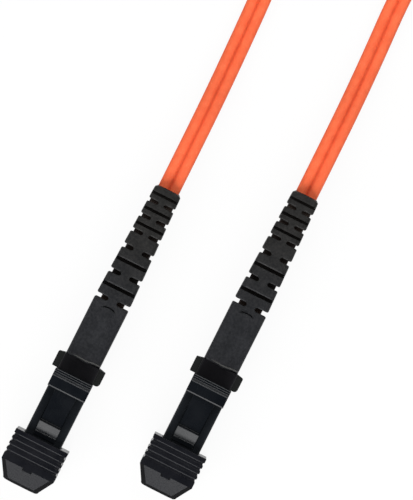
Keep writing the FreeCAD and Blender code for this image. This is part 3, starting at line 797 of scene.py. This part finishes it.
def addLightAndTone(mesh, place):
    # x is the painted light inside a cut: 0 on the skin and 1 inside, by the larger of the shares of the
    # half sizes, but near 0 in a slot from above; y runs along, z is the painted highlight on the upper
    # lip
    points = np.zeros(len(mesh.vertices) * 3)
    mesh.vertices.foreach_get("co", points)
    x, y, z = ((points.reshape(-1, 3) - place) / mm).T
    halfWidth, halfHeight = bootHalf(y)
    share = np.maximum(np.abs(x) / halfWidth, np.abs(z) / halfHeight)
    run = (y - boot["front"]) / (boot["end"] - boot["front"])
    crossCuts = bootCuts()[1]
    crossed = sum(np.abs(y - middle) < slot / 2 + boot["cutBevel"] for middle, slot, bevel in crossCuts)
    # painted light inside the cuts, mostly kept off the floors of the slots from above
    inside = (1 - step(share, *boot["skinShare"])) * (1 - boot["cutShade"] * crossed)
    beadPlace, beadHalf, bead = boot["lipBead"]
    # painted highlight along the upper lip's bead, following its wave
    low, high, left, right = boot["lipHighlight"]
    fromBead = np.abs(y - boot["front"] - beadPlace - lipWave(x) * 0.6)
    lip = (1 - step(fromBead, beadHalf * 0.4, beadHalf)) * step(z, low, high) * step(x, left, right)
    lightAndTone = np.stack([inside, run, lip], axis=1)
    mesh.attributes.new("lightAndTone", "FLOAT_VECTOR", "POINT").data.foreach_set("vector", lightAndTone.ravel())


def makeBoot(letter):
    # rings between the slots from the sides, webs across those slots, and the sleeve inside
    sideCuts, crossCuts = bootCuts()
    starts = [boot["front"]] + [y + slot / 2 for y, slot, web in sideCuts]
    stops = [y - slot / 2 for y, slot, web in sideCuts] + [boot["end"]]
    startRounds = [boot["lip"]] + [boot["edge"]] * len(sideCuts)
    stopRounds = [boot["rearEdge"]] * len(sideCuts) + [boot["tip"]]
    shells = [
        bootRing(start, stop, crossCuts, first, last)
        for start, stop, first, last in zip(starts, stops, startRounds, stopRounds)
    ]
    shells += [bootWeb(*cut, side) for cut in sideCuts for side in (-1, 1)] + [bootCore()]
    shells = placed(shells, letter)
    node = "strain_relief_boot_" + letter
    piece = makePiece("boot_" + letter, shells, "cord_and_plugs", "boot_rubber", [node], 40)
    addLightAndTone(piece.data, plugPlace(letter))
    return piece


for letter in "ab":
    makeBoot(letter)
print("boots made")


# Dust cap: a tapered nose, a smooth band with a tongue over the nose, four finger grooves; sizes in mm
cap = dict(
    nose=-2.3,  # from the plug's front
    tip=(7.05, 4.4, 0.95),  # width, height, flats on the long edges
    tipEdge=(0.5, 0.7, 0.62),  # flat round the front: along, across, upright
    band=1.1,  # where the nose ends
    open=7.0,
    size=(10.36, 8.4, 0.8),
    squash=(0.6, 0.25),  # height over width of the flats on the long edges: nose, band
    squashFrom=0.88,  # share of the nose where the one starts to change into the other
    rim=0.14,
    grooves=[5.85, 4.77, 3.69, 2.61],
    groove=(0.37, 0.2, 0.26, 0.07),  # half width, length of its steeper wall, depth at sides and above
    tongue=(0.79, 0.45),  # half width, reach over the nose
    tongueSlopes=(0.08, 0.04, 0.05, 0.03),  # sides, inside and outside; end, before and after
    hollow=(7.27, 5.77, 0.35),  # width, height, corner
    hollowEnd=-0.8,
    flare=0.1,  # at the hollow's mouth
    sideways=0.15,  # a face of the nose that turns further to the side is made rougher and painted darker: painted shade
)


def addMattShade(mesh, place):
    # 1, for painted shade and added roughness, on the flat round the front and on the faces that turn
    # sideways in front of the band
    centre, normal = np.zeros((2, len(mesh.polygons) * 3))
    mesh.polygons.foreach_get("center", centre)
    mesh.polygons.foreach_get("normal", normal)
    y = (centre.reshape(-1, 3)[:, 1] - place[1]) / mm
    sideways = np.abs(normal.reshape(-1, 3)[:, 0]) > cap["sideways"]
    mattShade = (y < cap["nose"] + cap["tipEdge"][0]) | (sideways & (y < cap["band"]))
    mesh.attributes.new("mattShade", "FLOAT", "FACE").data.foreach_set("value", mattShade.astype(np.float32))


def makeCap(letter):
    # outside: half sizes by straight lines from tip to band, less the grooves, with flats on the long
    # edges; then over the rim and back inside
    quarter = np.linspace(0, np.pi / 2, 6)
    tipAlong, tipAcross, tipUp = cap["tipEdge"]
    front = cap["nose"] + tipAlong * (1 - np.cos(quarter))
    rim = cap["open"] - cap["rim"] * (1 - np.cos(quarter[::-1]))
    tongueEdge = cap["band"] - cap["tongue"][1] + np.linspace(-0.06, 0.06, 7)
    along = np.concatenate([
        front,
        np.linspace(front[-1], cap["band"], 24)[1:],
        tongueEdge,
        np.linspace(cap["band"], rim[0], 130)[1:-1],
        rim,
    ])
    along = np.unique(np.round(along, 4))
    share = np.clip((along - front[-1]) / (cap["band"] - front[-1]), 0, 1)
    half, steep, sideDepth, topDepth = cap["groove"]
    sunk = sum(
        step(along, middle - half, middle) * (1 - step(along, middle + half - steep, middle + half))
        for middle in cap["grooves"]
    )
    noseGap = 1 - np.clip((along - cap["nose"]) / tipAlong, 0, 1)
    noseDrop = 1 - np.sqrt(1 - noseGap**2)
    rimDrop = 1 - np.sqrt(1 - (1 - np.clip((cap["open"] - along) / cap["rim"], 0, 1)) ** 2)
    loss = rimDrop * cap["rim"]
    tipWidth, tipHeight, tipCorner = cap["tip"]
    width, height, corner = cap["size"]
    halfWidth = (tipWidth + (width - tipWidth) * share) / 2
    halfWidth = halfWidth - loss - sunk * sideDepth - noseDrop * tipAcross
    halfHeight = (tipHeight + (height - tipHeight) * share) / 2
    halfHeight = halfHeight - loss - sunk * topDepth - noseGap * tipUp
    corners = tipCorner + (corner - tipCorner) * share
    inWidth, inHeight, inCorner = cap["hollow"]
    innerY = np.array([cap["open"], cap["open"] - cap["flare"], cap["hollowEnd"], cap["hollowEnd"]])
    ring = sectionRing(1, 40, 10)
    flare = np.array([cap["flare"], 0, 0, -inWidth / 2])
    inner = carried(
        ring,
        innerY,
        inWidth / 2 + flare,
        np.maximum(inHeight / 2 + flare, 0),
        np.full(4, inCorner),
    )
    pole = carried(ring, along[:1], np.zeros(1), np.zeros(1), np.zeros(1))
    noseSquash, bandSquash = cap["squash"]
    squash = noseSquash + (bandSquash - noseSquash) * step(share, cap["squashFrom"], 1)
    outer = carried(ring, along, halfWidth, halfHeight, corners, squash[:, None])
    x, y, z = outer[..., 0], outer[..., 1], outer[..., 2]
    tongueHalf, tongueReach = cap["tongue"]
    sideIn, sideOut, endIn, endOut = cap["tongueSlopes"]
    start = cap["band"] - tongueReach
    onTongue = 1 - step(np.abs(x), tongueHalf - sideIn, tongueHalf + sideOut)
    onTongue = onTongue * step(y, start - endIn, start + endOut)
    z += onTongue * (y < cap["band"]) * (z > 0) * (height / 2 - z)
    points = np.concatenate([pole, outer, inner])
    shells = placed([(points, gridFaces(len(points), points.shape[1], False))], letter)
    name = "cap_" + letter
    piece = makePiece(name, shells, name, "cap_plastic", ["dust_" + name], 12)
    addMattShade(piece.data, plugPlace(letter))
    return piece


for letter in "ab":
    makeCap(letter)
print("caps made")


# Latch lever: ramp, shoulder, sloping arm and ridged tab; sizes in mm from the plug's front and axis
lever = dict(
    root=7.7,
    plugTop=2.825,
    clear=0.05,  # above the plug's top at the root
    slope=5.0,  # degrees
    arm=(4.2, 0.75),  # width, thickness
    armReach=[0.03, 0.1, 0.1, 0.1, 0.08, 0.05, 0.38, 0.2, 0.03],  # softening of each of its corners
    plateFront=7.35,  # the thin plate in front of the ramp
    ramp=(8.1, 10.05, 0.2, 1.4),  # start, end, height at each
    ease=(0.85, 0.5),  # length and rise of the ramp's flatter foot
    shoulder=(0.35, 0.25),  # length, and how much of it slants
    tab=(16.38, 19.83, 7.35, 1.4),  # start, end, width, thickness
    bevel=(0.22, 0.12),  # length and drop at the tab's front
    ridges=[(0.12, 0.17), (0.05, 0.07), (0.05, 0.07), (0.05, 0.07)],  # height and front slope of each
    ridgePitch=0.38,
    ridgeLand=0.1,  # behind the last
    tabReach=0.035,  # softening of the tab's corners
    sideEdge=0.1,
    bead=0.28,  # radius of the round root
    beadDrop=0.1,
    beadEdge=0.05,
)


def softened(corners, reach, steps=5):
    # each corner is a curve (1-t)²·before + 2t(1-t)·corner + t²·after, between points at most reach away
    corner = np.array(corners, float)
    reach = np.broadcast_to(reach, len(corner))[:, None]
    legs = [np.roll(corner, shift, axis=0) - corner for shift in (1, -1)]
    sizes = [np.linalg.norm(leg, axis=1)[:, None] for leg in legs]
    before, after = [corner + leg * np.minimum(reach / size, 0.45) for leg, size in zip(legs, sizes)]
    t = np.linspace(0, 1, steps)[None, :, None]
    curve = (1 - t) ** 2 * before[:, None] + 2 * t * (1 - t) * corner[:, None] + t**2 * after[:, None]
    return curve.reshape(-1, 2)


def acrossShell(profile, width, edge):
    # a side profile carried across x; near each end it shrinks along its normals by a quarter circle
    y, z = profile.T
    if np.sum(y * np.roll(z, -1) - z * np.roll(y, -1)) > 0:
        profile = profile[::-1]
    tangent = np.roll(profile, -1, axis=0) - np.roll(profile, 1, axis=0)
    normal = np.stack([-tangent[:, 1], tangent[:, 0]], axis=1)
    normal /= np.linalg.norm(normal, axis=1)[:, None]
    bend = np.linspace(0, np.pi / 2, 5)
    x = -width / 2 + edge * (1 - np.cos(bend))
    inset = edge * (1 - np.sin(bend))
    x, inset = np.concatenate([x, -x[::-1]]), np.concatenate([inset, inset[::-1]])
    side = profile[None] - normal[None] * inset[:, None, None]
    points = np.concatenate([np.broadcast_to(x[:, None, None], side.shape[:2] + (1,)), side], axis=2)
    return closedTube(points)


def makeLever(letter):
    # three side profiles, for the arm with its ramp, the tab with its ridges and the round root
    top, root, plateFront = lever["plugTop"], lever["root"], lever["plateFront"]
    rise = math.tan(math.radians(lever["slope"]))

    def under(y):
        return top + lever["clear"] + (y - root) * rise

    armWidth, armThick = lever["arm"]
    rampStart, rampEnd, rampLow, rampHigh = lever["ramp"]
    length, slant = lever["shoulder"]
    tabStart, tabEnd, tabWidth, tabThick = lever["tab"]
    tabBevel, tabDrop = lever["bevel"]
    easeLength, easeRise = lever["ease"]
    shoulder = rampEnd + length
    arm = [
        (plateFront, under(plateFront)),
        (tabStart + tabBevel, under(tabStart + tabBevel)),
        (tabStart + tabBevel, under(tabStart + tabBevel) + armThick),
        (shoulder, under(shoulder) + armThick),
        (shoulder - slant, top + rampHigh),
        (rampEnd, top + rampHigh),
        (rampStart + easeLength, top + rampLow + easeRise),
        (rampStart, top + rampLow),
        (plateFront, top + rampLow),
    ]
    tab = [
        (tabStart, under(tabStart)),
        (tabStart, under(tabStart) + tabThick - tabDrop),
        (tabStart + tabBevel, under(tabStart) + tabThick),
    ]
    for k, (height, slope) in enumerate(lever["ridges"]):
        crest = tabEnd - lever["ridgeLand"] - (len(lever["ridges"]) - 1 - k) * lever["ridgePitch"]
        foot = crest - slope
        tab += [(foot, under(foot) + tabThick), (crest, under(crest) + tabThick + height)]
    tab += [(tabEnd, under(tabEnd) + tabThick + height), (tabEnd, under(tabEnd))]
    angle = np.linspace(0, 2 * np.pi, 24, endpoint=False)
    circle = lever["bead"] * np.stack([np.cos(angle), np.sin(angle)], axis=1)
    shells = [
        acrossShell(softened(arm, lever["armReach"]), armWidth, lever["sideEdge"]),
        acrossShell(softened(tab, lever["tabReach"]), tabWidth, lever["sideEdge"]),
        acrossShell(circle + np.array([root, top - lever["beadDrop"]]), armWidth, lever["beadEdge"]),
    ]
    shells = placed(shells, letter)
    body, node = "latch_" + letter, "latch_lever_" + letter
    # the lever takes the darker copy of the housing's plastic: painted shade
    return makePiece("lever_" + letter, shells, body, "housing_plastic", [node], 30, "lever_plastic_shaded")


for letter in "ab":
    makeLever(letter)
print("levers made")


# Ferrule spring: round wire with closed ends, pressed together as its ferrule goes back; sizes in mm
spring = dict(
    ends=(8.73, 15.47),  # from the plug's front
    wire=0.36,
    radius=1.65,  # to the middle of the wire
    turns=7,
    closedTurns=1,  # at each end
    pointsPerTurn=40,
    wireSteps=12,
    fixedEnd=15.5,
    seat=8.7,
    travel=0.8,
)


def makeSpring(letter):
    # a circle carried along a helix that climbs one wire in each closed turn and evenly between them
    wire, turns, closed = spring["wire"], spring["turns"], spring["closedTurns"]
    first, last = spring["ends"][0] + wire / 2, spring["ends"][1] - wire / 2
    turn = np.linspace(0, turns, turns * spring["pointsPerTurn"])[:, None]
    climb = [first, first + wire * closed, last - wire * closed, last]
    along = np.interp(turn, [0, closed, turns - closed, turns], climb)
    around = np.linspace(0, -2 * np.pi, spring["wireSteps"], endpoint=False)
    radius = spring["radius"] + wire / 2 * np.cos(around)
    angle = turn * 2 * np.pi
    y = along + wire / 2 * np.sin(around)
    points = np.stack([radius * np.cos(angle), y, radius * np.sin(angle)], axis=2)
    shells = placed([closedTube(points)], letter)
    node = "ferrule_spring_" + letter
    piece = makePiece("spring_" + letter, shells, "cord_and_plugs", "spring_steel", [node], 60)
    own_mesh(piece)
    return piece


for letter in "ab":
    makeSpring(letter)
print("springs made")


# Floor, world and lamps
stage = dict(
    half=3.0,  # half of the floor's side
    white=0.92,  # share of the floor that is plain white where it is seen
    floorTone=0.88,
    thrownTone=0.3,  # little of its light comes back up
    horizon=(0.0, 0.22),  # heights between which the world goes from one level to the other
    levels=(0.1, 0.38),
    overhead=(0.78, 0.93),  # and between which it falls to a share of that
    overheadShare=0.1,
)
lamps = [  # name, bearing in degrees from +X, height in degrees, distance, width, depth, brightness
    ("key", -90, 30, 0.6, 0.95, 0.36, 6.3),
    ("left", 170, 38, 0.6, 0.4, 0.3, 0.6),
    ("right", 20, 40, 0.6, 0.4, 0.3, 0.6),
    ("rear", 90, 47, 0.7, 0.6, 0.35, 2.6),
]


def grey(tone):
    return colour(tone, tone, tone)


def makeFloor():
    # white to the camera and to reflections, with a share of its own shading so that shadows stay
    f = Finish(bpy.data.materials.new("floorWhite"))
    ray = f.add("ShaderNodeLightPath", output="Is Camera Ray")
    glossy = Wire(f, ray.socket.node.outputs["Is Glossy Ray"])
    through = Wire(f, ray.socket.node.outputs["Is Transmission Ray"])
    thrown = Wire(f, ray.socket.node.outputs["Is Diffuse Ray"])
    seen = f.fit(ray + glossy + through, 0, 1, 0, stage["white"])
    tone = f.blend(thrown, grey(stage["floorTone"]), grey(stage["thrownTone"]))
    shaded = f.add("ShaderNodeBsdfDiffuse", sockets={"Color": tone})
    white = f.add("ShaderNodeEmission", sockets={"Color": grey(1), "Strength": 1.0})
    mixed = f.add("ShaderNodeMixShader", sockets={0: seen, 1: shaded, 2: white})
    f.add("ShaderNodeOutputMaterial", sockets={"Surface": mixed})
    mesh = bpy.data.meshes.new("floor")
    corners = stage["half"] * np.array([(-1, -1, 0), (1, -1, 0), (1, 1, 0), (-1, 1, 0)])
    mesh.from_pydata(corners.tolist(), [], [(0, 1, 2, 3)])
    mesh.materials.append(f.owner)
    floor = bpy.data.objects.new("floor", mesh)
    scene.collection.objects.link(floor)


def makeWorld():
    # a pale surround, dark overhead where the camera looks through
    world = bpy.data.worlds.new("world")
    scene.world = world
    f = Finish(world)
    point = f.add("ShaderNodeTexCoord", output="Generated")
    height = f.add("ShaderNodeSeparateXYZ", sockets={0: point}, output=2)
    level = f.fit(height, *stage["horizon"], *stage["levels"])
    level = level * f.fit(height, *stage["overhead"], 1, stage["overheadShare"])
    back = f.add("ShaderNodeBackground", sockets={"Color": grey(1), "Strength": level})
    f.add("ShaderNodeOutputWorld", sockets={"Surface": back})


def makeLamps():
    # a softbox gives brightness times pi times its area in watts
    aim = np.array(view["middle"])
    for name, bearing, height, distance, width, depth, brightness in lamps:
        data = bpy.data.lights.new(name, "AREA")
        data.shape = "RECTANGLE"
        data.size, data.size_y = width, depth
        data.energy = brightness * math.pi * width * depth
        lamp = bpy.data.objects.new(name, data)
        scene.collection.objects.link(lamp)
        b, h = math.radians(bearing), math.radians(height)
        way = np.array([math.cos(b) * math.cos(h), math.sin(b) * math.cos(h), math.sin(h)])
        lamp.location = aim + distance * way
        lamp.rotation_euler = (math.pi / 2 - h, 0, b + math.pi / 2)
        lamp.visible_camera = False


makeFloor()
makeWorld()
makeLamps()
print("stage lit")
